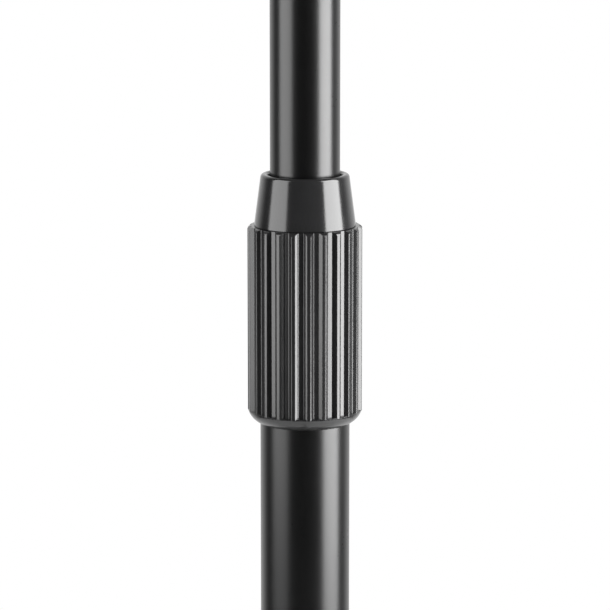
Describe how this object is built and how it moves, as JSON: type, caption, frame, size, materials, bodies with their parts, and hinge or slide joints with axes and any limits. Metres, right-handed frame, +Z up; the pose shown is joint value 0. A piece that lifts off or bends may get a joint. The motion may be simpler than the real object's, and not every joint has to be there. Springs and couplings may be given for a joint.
{
  "type": "music stand",
  "caption": "Folding music stand: tripod base, two telescoping tubes held by a ribbed twist clutch, and a tilting sheet-metal desk with a shelf.",
  "frame": {"origin": "on the floor, in the middle of the object's box seen from above", "axes": "+Z up; the player stands on the -Y side and faces +Y; +X to the player's right"},
  "size_m": [0.5242, 0.457, 1.2308],
  "materials": {
    "tube_lacquer": "satin black powder coat, fine texture",
    "leg_lacquer": "satin black powder coat",
    "desk_lacquer": "fine-textured black powder coat",
    "grip_moulding": "satin moulded nylon, charcoal",
    "nose_moulding": "semi-gloss moulded nylon, charcoal",
    "cast_black": "black-coated die casting",
    "knuckle_moulding": "glass-filled nylon, satin",
    "knob_moulding": "satin moulded nylon",
    "foot_rubber": "matt moulded rubber",
    "nylon": "self-lubricating nylon, black",
    "brass": "turned",
    "zinc_steel": "zinc plated",
    "black_rivet": "black oxide"
  },
  "bodies": {
    "base": {"base_hub": "cast_black", "base_liner": "nylon", "leg_pin_1": "zinc_steel", "leg_pin_2": "zinc_steel", "leg_pin_3": "zinc_steel"},
    "clamp_pad": {"clamp_pad": "brass"},
    "base_knob": {"base_knob": "knob_moulding", "base_knob_stud": "zinc_steel"},
    "leg_1": {"leg_tube_1": "leg_lacquer", "leg_knuckle_1": "knuckle_moulding", "leg_foot_1": "foot_rubber"},
    "leg_2": {"leg_tube_2": "leg_lacquer", "leg_knuckle_2": "knuckle_moulding", "leg_foot_2": "foot_rubber"},
    "leg_3": {"leg_tube_3": "leg_lacquer", "leg_knuckle_3": "knuckle_moulding", "leg_foot_3": "foot_rubber"},
    "lower_mast": {"lower_tube": "tube_lacquer", "tube_plug": "nylon", "clutch_core": "nylon", "clutch_pins": "zinc_steel", "collet": "nylon"},
    "clutch_washer": {"thrust_washer": "nylon"},
    "clutch_grip": {"clutch_shell": "nose_moulding", "grip_sleeve": "grip_moulding"},
    "slide_bush": {"slide_bush": "nylon"},
    "upper_mast": {"upper_tube": "tube_lacquer", "tube_foot": "nylon", "bush_ring": "zinc_steel", "head_fork": "cast_black", "fork_screw": "zinc_steel", "tilt_bolt": "zinc_steel", "friction_washers": "nylon"},
    "knob_washer": {"knob_washer": "zinc_steel"},
    "tilt_knob": {"tilt_knob": "knob_moulding", "tilt_knob_insert": "brass"},
    "desk": {"desk_knuckle": "cast_black", "desk_panel": "desk_lacquer", "shelf": "desk_lacquer", "knuckle_screws": "zinc_steel", "knuckle_nuts": "zinc_steel", "shelf_rivets": "black_rivet"}
  },
  "joints": [
    {"name": "leg_1_fold", "type": "hinge", "parent": "base", "child": "leg_1", "pos_m": [0, 0.0345, 0.09972], "axis": [1, 0, 0], "range_deg": [0, 70]},
    {"name": "leg_2_fold", "type": "hinge", "parent": "base", "child": "leg_2", "pos_m": [0.03291, 0.0915, 0.09972], "axis": [-0.5, 0.866, 0], "range_deg": [0, 70]},
    {"name": "leg_3_fold", "type": "hinge", "parent": "base", "child": "leg_3", "pos_m": [-0.03291, 0.0915, 0.09972], "axis": [-0.5, -0.866, 0], "range_deg": [0, 70]},
    {"name": "base_slide", "type": "slide", "parent": "base", "child": "lower_mast", "axis": [0, 0, -1], "range_m": [0, 0.16]},
    {"name": "clamp_pad_slide", "type": "slide", "parent": "base", "child": "clamp_pad", "axis": [0, 1, 0], "range_m": [0, 0.00187]},
    {"name": "base_knob_turn", "type": "hinge", "parent": "clamp_pad", "child": "base_knob", "pos_m": [0, 0.1085, 0.11972], "axis": [0, 1, 0], "range_deg": [0, 540]},
    {"name": "clutch_rise", "type": "slide", "parent": "lower_mast", "child": "clutch_washer", "axis": [0, 0, 1], "range_m": [0, 0.001]},
    {"name": "clutch_twist", "type": "hinge", "parent": "clutch_washer", "child": "clutch_grip", "pos_m": [0, 0.0725, 0.5442], "axis": [0, 0, 1], "range_deg": [0, 120]},
    {"name": "height_slide", "type": "slide", "parent": "lower_mast", "child": "slide_bush", "axis": [0, 0, 1], "range_m": [-0.35, 0.06]},
    {"name": "mast_swivel", "type": "hinge", "parent": "slide_bush", "child": "upper_mast", "pos_m": [0, 0.0725, 0.454], "axis": [0, 0, 1], "continuous": true},
    {"name": "desk_tilt", "type": "hinge", "parent": "upper_mast", "child": "desk", "pos_m": [0, 0.0725, 1.044], "axis": [1, 0, 0], "range_deg": [-68, 22]},
    {"name": "knob_washer_slide", "type": "slide", "parent": "upper_mast", "child": "knob_washer", "axis": [1, 0, 0], "range_m": [0, 0.00187]},
    {"name": "tilt_knob_turn", "type": "hinge", "parent": "knob_washer", "child": "tilt_knob", "pos_m": [0.0156, 0.0725, 1.044], "axis": [1, 0, 0], "range_deg": [0, 540]}
  ],
  "couplings": [
    {"joint": "base_knob_turn", "follows": "clamp_pad_slide", "rad_per_m": 5026.5},
    {"joint": "tilt_knob_turn", "follows": "knob_washer_slide", "rad_per_m": 5026.5},
    {"joint": "clutch_twist", "follows": "clutch_rise", "rad_per_m": 2094.4}
  ]
}
